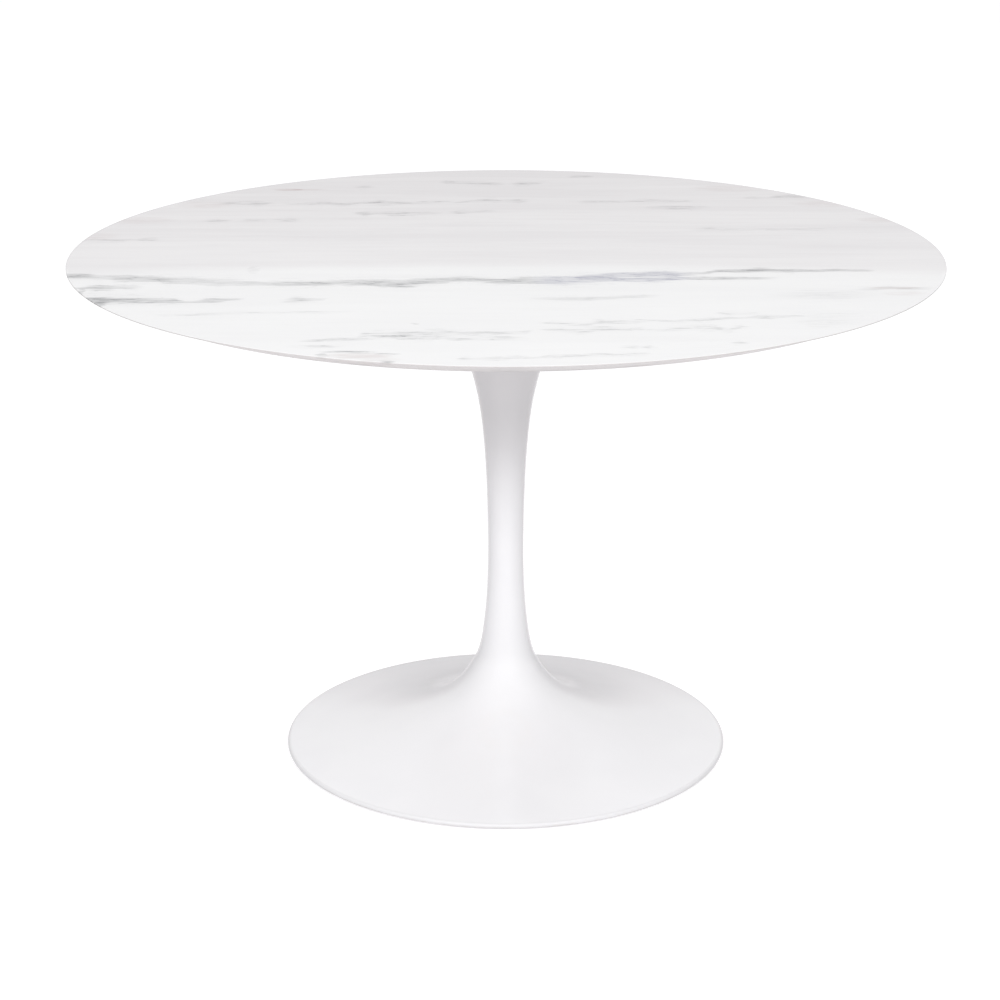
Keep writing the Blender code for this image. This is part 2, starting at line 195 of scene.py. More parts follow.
def relax(points, rounds):
    """Even out the curvature of a profile, ends held."""
    pts = list(points)
    for _ in range(rounds):
        new = list(pts)
        for i in range(1, len(pts) - 1):
            new[i] = pts[i] * 0.5 + (pts[i - 1] + pts[i + 1]) * 0.25
        pts = new
    return pts


def threaded(name, at, z0, z1, major, pitch, depth, steps=40, chamfer=0.0006,
             neck=None):
    """A solid right-hand screw thread between two heights, closed at both ends."""
    per_pitch = 8
    rows = max(2, int(round((z1 - z0) / pitch * per_pitch)))
    bm = bmesh.new()
    rings = []
    for k in range(rows + 1):
        z = z0 + (z1 - z0) * k / rows
        fade = min(1.0, (z - z0) / chamfer, (z1 - z) / chamfer)
        ring = []
        for i in range(steps):
            a = math.tau * i / steps
            phase = (z / pitch - i / steps) % 1.0
            crest = min(1.0, max(0.0, 1.35 - 2.7 * abs(phase - 0.5) * 1.0))
            r = major - depth * (1.0 - min(1.0, crest * 1.15))
            r -= depth * (1.0 - max(0.0, fade))
            ring.append(bm.verts.new((at[0] + r * math.cos(a),
                                      at[1] + r * math.sin(a), z)))
        rings.append(ring)
    for a, b in zip(rings, rings[1:]):
        for i in range(steps):
            j = (i + 1) % steps
            bm.faces.new((a[i], a[j], b[j], b[i]))
    bm.faces.new(rings[-1])
    bm.faces.new(list(reversed(rings[0])))
    return finish_mesh(name, bm, 50.0)


def join(name, obs):
    """Several closed bodies as one piece."""
    bm = bmesh.new()
    for o in obs:
        bm.from_mesh(o.data)
    for o in obs:
        bpy.data.objects.remove(o, do_unlink=True)
    mesh = bpy.data.meshes.new(name)
    bm.to_mesh(mesh)
    bm.free()
    mesh.shade_smooth()
    mesh.set_sharp_from_angle(angle=math.radians(40))
    ob = bpy.data.objects.new(name, mesh)
    scene.collection.objects.link(ob)
    return ob


# ----------------------------------------------------------- material helpers
class Shade:
    """A node material, written as a list of small steps."""

    def __init__(self, name):
        self.mat = bpy.data.materials.new(name)
        self.mat.use_nodes = True
        self.tree = self.mat.node_tree
        self.bsdf = self.tree.nodes["Principled BSDF"]
        self.coord = self.tree.nodes.new("ShaderNodeTexCoord").outputs["Object"]

    def node(self, kind, **props):
        n = self.tree.nodes.new(kind)
        for key, value in props.items():
            setattr(n, key, value)
        return n

    def put(self, socket, value):
        if isinstance(value, bpy.types.NodeSocket):
            self.tree.links.new(value, socket)
        else:
            socket.default_value = value

    def math(self, op, a, b=0.0, c=0.0, clamp=False):
        n = self.node("ShaderNodeMath", operation=op, use_clamp=clamp)
        self.put(n.inputs[0], a)
        self.put(n.inputs[1], b)
        self.put(n.inputs[2], c)
        return n.outputs[0]

    def vmath(self, op, a, b=(0, 0, 0), scale=None):
        n = self.node("ShaderNodeVectorMath", operation=op)
        self.put(n.inputs[0], a)
        if op not in ("LENGTH", "SCALE", "NORMALIZE"):
            self.put(n.inputs[1], b)
        if scale is not None:
            self.put(n.inputs["Scale"], scale)
        return n.outputs["Value"] if op in ("LENGTH", "DOT_PRODUCT") else n.outputs[0]

    def noise(self, vector, scale, detail=2.0, rough=0.5, colour=False):
        n = self.node("ShaderNodeTexNoise", noise_dimensions="3D")
        self.put(n.inputs["Vector"], vector)
        n.inputs["Scale"].default_value = scale
        n.inputs["Detail"].default_value = detail
        n.inputs["Roughness"].default_value = rough
        return n.outputs["Color" if colour else "Fac"]

    def stretch(self, vector, scale, move=(0, 0, 0), turn=(0, 0, 0)):
        n = self.node("ShaderNodeMapping")
        self.put(n.inputs["Vector"], vector)
        n.inputs["Location"].default_value = move
        n.inputs["Rotation"].default_value = turn
        n.inputs["Scale"].default_value = scale
        return n.outputs[0]

    def ramp(self, value, lo, hi, out_lo=0.0, out_hi=1.0, smooth=True):
        n = self.node("ShaderNodeMapRange")
        n.interpolation_type = "SMOOTHSTEP" if smooth else "LINEAR"
        self.put(n.inputs["Value"], value)
        self.put(n.inputs["From Min"], lo)
        self.put(n.inputs["From Max"], hi)
        n.inputs["To Min"].default_value = out_lo
        n.inputs["To Max"].default_value = out_hi
        return n.outputs[0]

    def mix(self, fac, a, b):
        n = self.node("ShaderNodeMix", data_type="RGBA")
        self.put(n.inputs[0], fac)
        self.put(n.inputs[6], a if isinstance(a, bpy.types.NodeSocket) else (*a, 1.0))
        self.put(n.inputs[7], b if isinstance(b, bpy.types.NodeSocket) else (*b, 1.0))
        return n.outputs[2]

    def split(self, vector):
        n = self.node("ShaderNodeSeparateXYZ")
        self.put(n.inputs[0], vector)
        return n.outputs

    def combine(self, x, y, z):
        n = self.node("ShaderNodeCombineXYZ")
        self.put(n.inputs[0], x)
        self.put(n.inputs[1], y)
        self.put(n.inputs[2], z)
        return n.outputs[0]

    def bump(self, height, strength, distance, normal=None):
        n = self.node("ShaderNodeBump")
        n.inputs["Strength"].default_value = strength
        n.inputs["Distance"].default_value = distance
        self.put(n.inputs["Height"], height)
        if normal is not None:
            self.put(n.inputs["Normal"], normal)
        return n.outputs[0]

    def done(self, colour=None, roughness=None, normal=None, **constants):
        if colour is not None:
            self.put(self.bsdf.inputs["Base Color"], colour)
        if roughness is not None:
            self.put(self.bsdf.inputs["Roughness"], roughness)
        if normal is not None:
            self.put(self.bsdf.inputs["Normal"], normal)
        for key, value in constants.items():
            self.bsdf.inputs[key.replace("_", " ")].default_value = value
        return self.mat


# ---------------------------------------------------------------- veined stone
# The veins all run along X. Each run is a line of stations from left to right:
# X and Y on the top in metres, the vein's half width there in millimetres and
# its strength. Where the strength falls to nothing the vein is broken.
RUNS = [
    # the long vein a little in front of the middle, and its lower strand
    [(-0.600, -0.140, 5, .45), (-0.570, -0.143, 9, .75), (-0.535, -0.148, 8, .34),
     (-0.500, -0.155, 11, .54), (-0.470, -0.158, 9, .64), (-0.430, -0.166, 12, .40),
     (-0.370, -0.178, 12, .32), (-0.320, -0.185, 7, .36), (-0.290, -0.185, 9, .66),
     (-0.240, -0.184, 9, .60), (-0.205, -0.175, 7, .60), (-0.175, -0.177, 10, .58),
     (-0.140, -0.183, 11, .56), (-0.105, -0.172, 9, .62), (-0.050, -0.161, 9, .62),
     (-0.010, -0.170, 9, .66), (0.030, -0.164, 12, .64), (0.070, -0.168, 15, .56),
     (0.100, -0.160, 14, .52), (0.150, -0.161, 9, .58), (0.195, -0.161, 10, .68),
     (0.235, -0.153, 5, .46), (0.280, -0.155, 5, .50), (0.330, -0.153, 4, .40),
     (0.370, -0.153, 4, .0)],
    [(-0.225, -0.190, 4, .0), (-0.205, -0.194, 5, .46), (-0.180, -0.192, 5, .36),
     (-0.160, -0.198, 5, .28), (-0.130, -0.200, 6, .34), (-0.100, -0.188, 4, .0),
     (0.085, -0.150, 4, .0), (0.115, -0.142, 8, .46), (0.145, -0.136, 8, .54),
     (0.170, -0.135, 8, .64), (0.205, -0.129, 10, .74), (0.235, -0.132, 8, .50),
     (0.262, -0.127, 5, .44), (0.285, -0.114, 5, .80), (0.312, -0.113, 5, .74),
     (0.340, -0.106, 7, .80), (0.375, -0.111, 6, .64), (0.405, -0.113, 4, .56),
     (0.445, -0.109, 4, .62), (0.480, -0.109, 3, .36), (0.497, -0.109, 3, .0)],
    # left edge wedge, the streaks behind it and their fainter tail
    [(-0.565, -0.212, 5, .25), (-0.530, -0.208, 10, .80), (-0.497, -0.206, 6, .50),
     (-0.470, -0.204, 8, .0), (0.440, -0.213, 3, .0), (0.475, -0.213, 5, .20),
     (0.502, -0.208, 6, .34), (0.530, -0.213, 5, .26), (0.565, -0.208, 5, .0)],
    [(-0.545, -0.278, 10, .55), (-0.520, -0.279, 13, .80), (-0.480, -0.280, 10, .78),
     (-0.430, -0.281, 8, .66), (-0.405, -0.286, 4, .36), (-0.375, -0.279, 6, .62),
     (-0.347, -0.273, 3, .35), (-0.335, -0.273, 3, .0), (-0.290, -0.277, 4, .0),
     (-0.265, -0.271, 6, .50), (-0.240, -0.272, 4, .20), (-0.225, -0.265, 3, .0),
     (0.010, -0.268, 4, .0), (0.090, -0.271, 6, .30), (0.160, -0.259, 5, .24),
     (0.205, -0.254, 4, .0), (0.320, -0.255, 10, .0), (0.410, -0.250, 15, .13),
     (0.500, -0.240, 12, .0)],
    [(-0.450, -0.355, 4, .0), (-0.405, -0.353, 5, .30), (-0.350, -0.346, 5, .30),
     (-0.295, -0.342, 4, .16), (-0.240, -0.338, 5, .24), (-0.180, -0.335, 4, .0),
     (0.255, -0.347, 3, .0), (0.275, -0.347, 6, .46), (0.300, -0.345, 4, .26),
     (0.320, -0.344, 3, .0), (0.345, -0.354, 8, .0), (0.400, -0.354, 15, .12),
     (0.460, -0.348, 10, .0)],
    # the feathered streaks in front
    [(-0.190, -0.478, 4, .0), (-0.168, -0.452, 9, .34), (-0.143, -0.453, 11, .40),
     (-0.109, -0.454, 13, .50), (-0.088, -0.446, 15, .42), (-0.045, -0.450, 11, .42),
     (-0.012, -0.447, 9, .40), (0.024, -0.440, 5, .40), (0.036, -0.436, 3, .0)],
    [(-0.255, -0.479, 4, .0), (-0.228, -0.479, 5, .38), (-0.200, -0.474, 7, .46),
     (-0.172, -0.474, 4, .24), (-0.145, -0.468, 4, .30), (-0.100, -0.472, 5, .38),
     (-0.050, -0.479, 5, .36), (0.000, -0.472, 5, .36), (0.038, -0.476, 3, .0),
     (0.265, -0.494, 3, .0), (0.280, -0.493, 5, .42), (0.292, -0.495, 3, .0)],
    [(0.035, -0.401, 3, .0), (0.055, -0.401, 5, .34), (0.095, -0.406, 5, .36),
     (0.115, -0.392, 8, .52), (0.145, -0.392, 6, .46), (0.175, -0.385, 5, .38),
     (0.205, -0.387, 5, .30), (0.240, -0.381, 7, .46), (0.280, -0.373, 4, .34),
     (0.325, -0.365, 6, .50), (0.358, -0.362, 4, .26), (0.375, -0.362, 3, .0)],
    [(0.035, -0.425, 3, .0), (0.060, -0.430, 7, .36), (0.092, -0.438, 7, .38),
     (0.112, -0.425, 6, .44), (0.160, -0.425, 5, .36), (0.185, -0.430, 4, .24),
     (0.228, -0.420, 7, .38), (0.256, -0.421, 7, .42), (0.272, -0.432, 5, .30),
     (0.290, -0.415, 5, .34), (0.302, -0.417, 3, .0), (0.340, -0.396, 6, .0),
     (0.395, -0.394, 13, .19), (0.450, -0.388, 8, .0)],
    [(-0.270, -0.512, 3, .0), (-0.225, -0.510, 5, .36), (-0.185, -0.508, 4, .0),
     (0.135, -0.511, 3, .0), (0.152, -0.511, 5, .36), (0.160, -0.511, 3, .12),
     (0.169, -0.511, 5, .50), (0.178, -0.512, 3, .0)],
    [(-0.062, -0.566, 3, .0), (-0.050, -0.562, 5, .38), (-0.035, -0.566, 4, .20),
     (-0.005, -0.566, 5, .38), (0.010, -0.560, 4, .40), (0.035, -0.562, 3, .16),
     (0.052, -0.558, 5, .38), (0.085, -0.554, 4, .34), (0.110, -0.549, 5, .34),
     (0.130, -0.551, 4, .28), (0.163, -0.545, 5, .36), (0.175, -0.545, 3, .0)],
    # the back half
    [(-0.600, 0.072, 8, .30), (-0.545, 0.077, 8, .34), (-0.525, 0.080, 5, .14),
     (-0.506, 0.085, 8, .42), (-0.480, 0.081, 4, .0), (0.255, 0.150, 4, .0),
     (0.295, 0.154, 10, .26), (0.340, 0.149, 7, .14), (0.430, 0.154, 8, .20),
     (0.490, 0.160, 6, .0)],
    [(-0.450, 0.208, 4, .0), (-0.420, 0.209, 10, .38), (-0.395, 0.210, 4, .0),
     (-0.372, 0.216, 7, .28), (-0.342, 0.217, 4, .08), (-0.314, 0.220, 9, .30),
     (-0.285, 0.219, 4, .0), (-0.230, 0.264, 4, .0), (-0.206, 0.263, 10, .46),
     (-0.188, 0.267, 5, .22), (-0.165, 0.260, 9, .36), (-0.145, 0.259, 9, .40),
     (-0.110, 0.263, 6, .30), (-0.090, 0.265, 4, .0), (-0.068, 0.268, 9, .40),
     (-0.048, 0.275, 6, .14), (-0.030, 0.278, 7, .22), (-0.010, 0.278, 4, .0),
     (0.200, 0.308, 5, .0), (0.232, 0.309, 8, .30), (0.275, 0.306, 9, .40),
     (0.310, 0.312, 4, .0)],
    [(-0.440, 0.333, 5, .0), (-0.410, 0.336, 7, .30), (-0.368, 0.337, 10, .48),
     (-0.345, 0.338, 5, .12), (-0.307, 0.333, 7, .30), (-0.272, 0.338, 9, .46),
     (-0.245, 0.328, 9, .44), (-0.215, 0.337, 7, .36), (-0.185, 0.339, 11, .74),
     (-0.162, 0.339, 9, .66), (-0.140, 0.333, 7, .30), (-0.118, 0.341, 9, .46),
     (-0.090, 0.350, 6, .44), (-0.078, 0.341, 5, .26), (-0.048, 0.350, 6, .26),
     (-0.021, 0.358, 9, .66), (-0.004, 0.351, 5, .30), (0.020, 0.352, 9, .46),
     (0.042, 0.354, 4, .0)],
    [(0.105, 0.350, 4, .0), (0.122, 0.349, 7, .34), (0.150, 0.353, 7, .30),
     (0.180, 0.349, 6, .18), (0.215, 0.354, 10, .36), (0.265, 0.351, 7, .24),
     (0.300, 0.345, 4, .0), (0.355, 0.377, 4, .0), (0.375, 0.376, 7, .26),
     (0.395, 0.374, 5, .10), (0.414, 0.384, 8, .42), (0.438, 0.390, 9, .46),
     (0.470, 0.383, 4, .0)],
    [(-0.240, 0.462, 4, .0), (-0.216, 0.460, 10, .26), (-0.195, 0.460, 4, .0),
     (-0.105, 0.500, 4, .0), (-0.090, 0.500, 9, .48), (-0.070, 0.494, 8, .18),
     (-0.045, 0.490, 9, .36), (-0.016, 0.486, 9, .36), (0.004, 0.486, 4, .10),
     (0.026, 0.489, 11, .52), (0.048, 0.497, 7, .30), (0.070, 0.505, 4, .0)],
]
# short separate marks: centre, half length, half width (mm), strength, tilt
RUST_AND_BACK_REFLECTION = [
    (-0.335, 0.441, 26, 10, .50, 0.00), (-0.300, 0.440, 30, 8, .22, 0.00),
    (-0.175, -0.552, 44, 15, .30, 0.02), (-0.150, -0.570, 30, 12, .22, 0.00),
    (0.505, -0.209, 34, 9, .34, 0.00), (0.515, -0.240, 30, 16, .16, 0.00),
    # the last six, broad and faint along the back rim, are a painted pinkish reflection, not rust
    (-0.450, 0.324, 46, 26, .16, 0.00), (-0.530, 0.214, 50, 28, .16, 0.00),
    (-0.582, 0.105, 36, 30, .16, 0.00), (0.345, 0.450, 60, 28, .16, 0.00),
    (0.475, 0.332, 50, 26, .16, 0.00), (0.545, 0.217, 36, 22, .16, 0.00),
]
DARK = [
    (-0.140, -0.578, 9, 8, .70, 0.00), (0.118, 0.548, 22, 13, .28, 0.00),
    (-0.188, -0.536, 34, 6, .62, 0.02), (-0.142, -0.541, 16, 5, .42, 0.00),
    (-0.219, -0.552, 7, 12, .40, 0.00),
    (-0.553, -0.232, 7, 22, .62, 0.00), (-0.518, -0.300, 9, 16, .70, 0.00),
    (-0.112, -0.398, 5, 7, .26, 0.00), (-0.338, -0.106, 9, 24, .12, 0.00),
]


def stone_material(name, honed_edge):
    s = Shade(name)
    x, y, z = s.split(s.coord)

    # the beds of the stone: everything is drawn out along X
    wander = s.noise(s.stretch(s.coord, (1.0, 2.6, 2.0)), 6.5, 2.0, 0.5)
    ragged = s.noise(s.stretch(s.coord, (1.0, 3.2, 2.4)), 36.0, 4.0, 0.62)
    feather = s.noise(s.stretch(s.coord, (1.0, 15.0, 12.0)), 8.5, 5.0, 0.60)
    breaks = s.noise(s.stretch(s.coord, (1.0, 3.5, 2.0), (3.1, 0.7, 0.0)), 30.0, 4.0, 0.62)
    yy = s.math("MULTIPLY_ADD", wander, 0.020, s.math("ADD", y, -0.010))
    yy = s.math("MULTIPLY_ADD", ragged, 0.0064, s.math("ADD", yy, -0.0032))
    # vein planes lean a little through the slab
    yy = s.math("MULTIPLY_ADD", s.math("SUBTRACT", z, TABLE_H), 0.35, yy)
    xx = s.math("MULTIPLY_ADD", ragged, 0.026, s.math("ADD", x, -0.013))
    along = s.math("MULTIPLY_ADD", xx, 1 / 1.24, 0.5)
    close = s.math("MULTIPLY_ADD", feather, 1.8, -0.9)
    spread = s.math("MULTIPLY_ADD", feather, 2.5, -1.25)
    steady = s.ramp(breaks, 0.34, 0.60, 0.74, 1.06)
    breaks = s.ramp(breaks, 0.34, 0.60, 0.45, 1.15)
    mottle = s.noise(s.stretch(s.coord, (1.0, 4.2, 3.0), (0.4, 6.2, 0.0)), 36.0, 4.0, 0.6)
    solid = s.ramp(mottle, 0.36, 0.60, 0.70, 1.08)
    broken = s.ramp(mottle, 0.38, 0.60, 0.30, 1.20)
    strand = s.noise(s.stretch(s.coord, (1.0, 5.5, 5.0), (2.2, 3.4, 0.0)), 21.0, 4.0, 0.6)
    strand = s.ramp(s.math("ABSOLUTE", s.math("SUBTRACT", strand, 0.5)), 0.006, 0.055, 1.0, 0.0)
    strand = s.math("MULTIPLY", strand, s.ramp(mottle, 0.44, 0.60))

    main, veins, halo = 0.0, 0.0, 0.0
    for number, run in enumerate(RUNS):
        y_lo = min(p[1] for p in run) - 0.004
        y_span = max(p[1] for p in run) + 0.004 - y_lo
        line = s.node("ShaderNodeValToRGB")
        s.put(line.inputs["Fac"], along)
        ramp = line.color_ramp
        ramp.interpolation = "EASE"
        for k, (px, py, half, strength) in enumerate(run):
            at = px / 1.24 + 0.5
            if k == 0:
                stop = ramp.elements[0]
                stop.position = at
            elif k == 1:
                stop = ramp.elements[-1]
                stop.position = at
            else:
                stop = ramp.elements.new(at)
            stop.color = ((py - y_lo) / y_span, half / 20.0, strength, 1.0)
        parts = s.node("ShaderNodeSeparateColor")
        s.put(parts.inputs[0], line.outputs["Color"])
        centre = s.math("MULTIPLY_ADD", parts.outputs[0], y_span, y_lo)
        off = s.math("ABSOLUTE", s.math("SUBTRACT", yy, centre))
        bold = number < 4
        wide = 0.043 if bold else 0.034
        off = s.math("DIVIDE", off, s.math("MULTIPLY_ADD", parts.outputs[1], wide, 0.0005))
        if bold:
            core = s.ramp(s.math("ADD", off, close), 0.30, 1.00, 0.90, 0.0)
            core = s.math("MULTIPLY", core, parts.outputs[2])
            main = s.math("MULTIPLY_ADD", core, solid, main)
        else:
            core = s.ramp(s.math("ADD", off, spread), 0.10, 1.15, 0.64 if number < 11 else 0.68, 0.0)
            core = s.math("MULTIPLY", core, parts.outputs[2])
            veins = s.math("MULTIPLY_ADD", core, broken, veins)
        soft = s.math("MULTIPLY", s.ramp(off, 0.2, 2.2, 1.0, 0.0), parts.outputs[2])
        halo = s.math("ADD", soft, halo)

    def marks(table):
        total = 0.0
        for cx, cy, a, b, strength, tilt in table:
            u = s.math("MULTIPLY_ADD", xx, 1000 / a, -cx * 1000 / a)
            v = s.math("MULTIPLY_ADD", yy, 1000 / b, -cy * 1000 / b)
            v = s.math("MULTIPLY_ADD", u, -tilt * a / b, v)
            q = s.math("MULTIPLY_ADD", v, v, s.math("MULTIPLY", u, u))
            core = s.ramp(q, 0.05, 1.30, strength, 0.0)
            total = s.math("ADD", core, total)
        return total

    rust_and_back_reflection = s.math("MULTIPLY", marks(RUST_AND_BACK_REFLECTION), s.math("MULTIPLY", breaks, solid), clamp=True)
    veins = s.math("MULTIPLY_ADD", marks(DARK), broken, veins)
    veins = s.math("MULTIPLY_ADD", s.math("MULTIPLY", halo, strand), 0.50, veins)
    veins = s.math("MULTIPLY_ADD", main, steady, s.math("MULTIPLY", veins, breaks), clamp=True)

    # ground: faint beds, drawn stronger towards the back as painted shade on the back half, hairlines, cloud,
    # crystal
    beds = s.noise(s.stretch(s.coord, (1.0, 9.0, 4.0)), 7.0, 5.0, 0.60)
    fine = s.noise(s.stretch(s.coord, (1.0, 22.0, 9.0), (4.0, 1.0, 0.0)), 9.0, 4.0, 0.6)
    broad = s.noise(s.stretch(s.coord, (1.0, 14.0, 6.0), (9.0, 4.0, 0.0)), 1.3, 3.0, 0.55)
    cloud = s.noise(s.stretch(s.coord, (1.0, 2.4, 1.0), (7.0, 0.0, 0.0)), 2.6, 4.0, 0.55)
    hair = s.noise(s.stretch(s.coord, (1.0, 8.0, 3.0), (1.7, 2.3, 0.0)), 12.0, 6.0, 0.66)
    hairline = s.ramp(s.math("ABSOLUTE", s.math("SUBTRACT", hair, 0.53)), 0.0, 0.012, 0.20, 0.0)
    where = s.noise(s.stretch(s.coord, (1.0, 1.8, 1.0), (0.0, 5.0, 0.0)), 3.4, 3.0, 0.5)
    hairline = s.math("MULTIPLY", hairline, s.ramp(where, 0.46, 0.68))
    crystal = s.noise(s.coord, 620.0, 2.0, 0.6)
    # painted shade: beds, broad bands and fine lines are faint in front and full at the back, so the back half
    # reads darker
    painted_back_shade = s.ramp(y, -0.20, 0.10, 0.35, 1.0)

    ground = s.mix(s.ramp(cloud, 0.35, 0.70), (0.762, 0.762, 0.762), (0.740, 0.740, 0.742))
    ground = s.mix(s.math("MULTIPLY", s.math("MULTIPLY", s.ramp(broad, 0.40, 0.66), 0.30), painted_back_shade), ground, (0.62, 0.61, 0.62))
    ground = s.mix(s.math("MULTIPLY", s.math("MULTIPLY", s.ramp(beds, 0.46, 0.74), 0.30), painted_back_shade), ground, (0.64, 0.63, 0.64))
    ground = s.mix(s.math("MULTIPLY", s.math("MULTIPLY", s.ramp(fine, 0.48, 0.72), 0.16), painted_back_shade), ground, (0.62, 0.615, 0.62))
    ground = s.mix(s.math("MULTIPLY", s.ramp(crystal, 0.42, 0.75), 0.08), ground, (0.71, 0.71, 0.715))
    ground = s.mix(hairline, ground, (0.50, 0.50, 0.51))
    ground = s.mix(s.math("MULTIPLY", halo, 0.13, clamp=True), ground, (0.52, 0.52, 0.535))
    # the middle of the long vein turns slate blue
    slate = s.math("MULTIPLY", s.ramp(x, 0.025, 0.055), s.ramp(x, 0.262, 0.225))
    slate = s.math("MULTIPLY", slate, s.ramp(s.math("ABSOLUTE", s.math("ADD", y, 0.150)), 0.050, 0.040))
    ink = s.mix(slate, (0.185, 0.190, 0.198), (0.230, 0.236, 0.318))
    ground = s.mix(veins, ground, ink)
    # rust-coloured marks; along the back rim they are a painted pinkish reflection
    ground = s.mix(rust_and_back_reflection, ground, (0.42, 0.315, 0.305))
    # the cut edge, bevel and underside get a warm painted reflection, warmest where x is near the middle and
    # greyer towards the sides; the underside is only honed
    aside = s.math("ABSOLUTE", x)
    edge = s.math("MULTIPLY", s.ramp(z, TABLE_H - 0.0004, TABLE_H - 0.0012), s.ramp(cloud, 0.30, 0.60, 0.40, 1.0))
    # painted warm reflection colour for the edge band, greyer at the sides
    cut = s.mix(s.ramp(aside, 0.28, 0.42), (0.745, 0.696, 0.684), (0.722, 0.716, 0.712))
    ground = s.mix(s.math("MULTIPLY", edge, 0.50), ground, cut)
    # painted shade: the thin upright lip band is darkened, more in the middle than at the sides
    painted_lip_shade = s.math("MULTIPLY", s.ramp(z, TABLE_H - 0.0002, TABLE_H - 0.0006), s.ramp(z, TABLE_H - 0.0022, TABLE_H - 0.0016))
    painted_lip_shade = s.math("MULTIPLY", painted_lip_shade, s.ramp(aside, 0.36, 0.54, 0.60, 0.38))
    ground = s.mix(painted_lip_shade, ground, (0.498, 0.478, 0.472))
    honed = s.ramp(z, TABLE_H - 0.0188, TABLE_H - 0.0196)

    polish = s.noise(s.coord, 60.0, 4.0, 0.6)
    rough = s.math("MULTIPLY_ADD", polish, 0.014, 0.012)
    rough = s.math("MULTIPLY_ADD", veins, 0.030, rough)
    rough = s.math("MULTIPLY_ADD", honed, 0.34, rough)
    ripple = s.noise(s.coord, 9.0, 2.0)
    pits = s.ramp(s.noise(s.coord, 900.0, 1.0), 0.66, 0.74)
    saw = s.noise(s.stretch(s.coord, (1.0, 30.0, 1.0)), 18.0, 3.0)
    grain = s.math("MULTIPLY_ADD", s.math("MULTIPLY", saw, honed), 1.5, pits)
    normal = s.bump(grain, 0.05, 0.0002, s.bump(ripple, 0.015, 0.001))
    if honed_edge:
        # the sawn edge, its bevel and the underside are only honed
        rough = s.math("MULTIPLY_ADD", polish, 0.12, s.math("ADD", rough, 0.26))
        return s.done(ground, rough, normal, Specular_IOR_Level=0.12, IOR=1.5)
    return s.done(ground, rough, normal, Specular_IOR_Level=0.5, IOR=1.5)


# -------------------------------------------------------------- other finishes
def enamel_material():
    s = Shade("white_enamel_gloss")
    x, y, z = s.split(s.coord)
    r = s.vmath("LENGTH", s.combine(x, y, 0.0))
    flow = s.noise(s.coord, 7.0, 3.0)
    speck = s.noise(s.coord, 260.0, 2.0, 0.55)
    colour = s.mix(s.ramp(flow, 0.35, 0.70), (0.810, 0.812, 0.826), (0.790, 0.792, 0.808))
    colour = s.mix(s.math("MULTIPLY", s.ramp(speck, 0.62, 0.80), 0.10), colour, (0.70, 0.70, 0.71))
    # painted shade: the foot's rounded edge is darkened
    painted_rim_shade = s.math("MULTIPLY", s.ramp(r, 0.3118, 0.3150), s.ramp(z, 0.0200, 0.0120))
    colour = s.mix(s.math("MULTIPLY", painted_rim_shade, 0.45), colour, (0.66, 0.66, 0.67))
    # a thin line round the foot's lowest edge: darker as painted shade, rougher as rubbed wear
    rim = s.math("MULTIPLY", s.ramp(r, 0.3155, 0.3174), s.ramp(z, 0.0075, 0.0035))
    rubbed_and_shaded = s.math("MULTIPLY", rim, s.ramp(s.noise(s.coord, 34.0, 4.0, 0.6), 0.38, 0.66, 0.15, 0.75))
    colour = s.mix(rubbed_and_shaded, colour, (0.60, 0.59, 0.58))
    rough = s.math("MULTIPLY_ADD", s.noise(s.coord, 42.0, 4.0, 0.6), 0.10, 0.13)
    rough = s.math("MULTIPLY_ADD", rubbed_and_shaded, 0.30, rough)
    peel = s.noise(s.coord, 330.0, 2.0, 0.5)
    cast = s.noise(s.coord, 16.0, 2.0, 0.5)
    normal = s.bump(peel, 0.05, 0.0004, s.bump(cast, 0.06, 0.0012))
    return s.done(colour, rough, normal, Coat_Weight=0.25, Coat_Roughness=0.08, IOR=1.5)


def raw_inside_material():
    """The casting's unseen inside: primer over sand-cast skin."""
    s = Shade("primer_inside")
    grain = s.noise(s.coord, 190.0, 5.0, 0.65)
    cloud = s.noise(s.coord, 11.0, 3.0)
    colour = s.mix(s.ramp(cloud, 0.3, 0.7), (0.60, 0.60, 0.60), (0.70, 0.70, 0.705))
    colour = s.mix(s.ramp(grain, 0.55, 0.75), colour, (0.50, 0.50, 0.50))
    return s.done(colour, s.ramp(grain, 0.2, 0.8, 0.50, 0.75), s.bump(grain, 0.35, 0.0006))


def ply_material():
    s = Shade("birch_ply_sealed")
    x, y, z = s.split(s.coord)
    grain = s.noise(s.stretch(s.coord, (2.0, 30.0, 4.0)), 9.0, 5.0, 0.6)
    figure = s.noise(s.stretch(s.coord, (1.0, 5.0, 1.0)), 3.0, 4.0, 0.6)
    face = s.mix(s.ramp(grain, 0.35, 0.70), (0.66, 0.50, 0.31), (0.55, 0.39, 0.22))
    face = s.mix(s.ramp(figure, 0.45, 0.7, 0.0, 0.4), face, (0.46, 0.32, 0.18))
    # nine plies show on the edge, every second one end grain
    wave = s.math("MULTIPLY_ADD", s.noise(s.coord, 30.0, 2.0), 0.0004, z)
    ply = s.math("PINGPONG", wave, DISC_T / 9)
    ends = s.ramp(ply, DISC_T / 9 * 0.35, DISC_T / 9 * 0.6)
    r = s.vmath("LENGTH", s.combine(x, y, 0.0))
    on_edge = s.ramp(r, DISC_R - 0.0032, DISC_R - 0.0012)
    fibres = s.noise(s.stretch(s.coord, (90.0, 90.0, 300.0)), 6.0, 3.0)
    dark = s.mix(s.ramp(fibres, 0.3, 0.7), (0.36, 0.23, 0.12), (0.46, 0.31, 0.17))
    colour = s.mix(s.math("MULTIPLY", ends, on_edge), face, dark)
    return s.done(colour, s.ramp(grain, 0.3, 0.7, 0.42, 0.58), s.bump(grain, 0.12, 0.0004), Coat_Weight=0.15, Coat_Roughness=0.3)


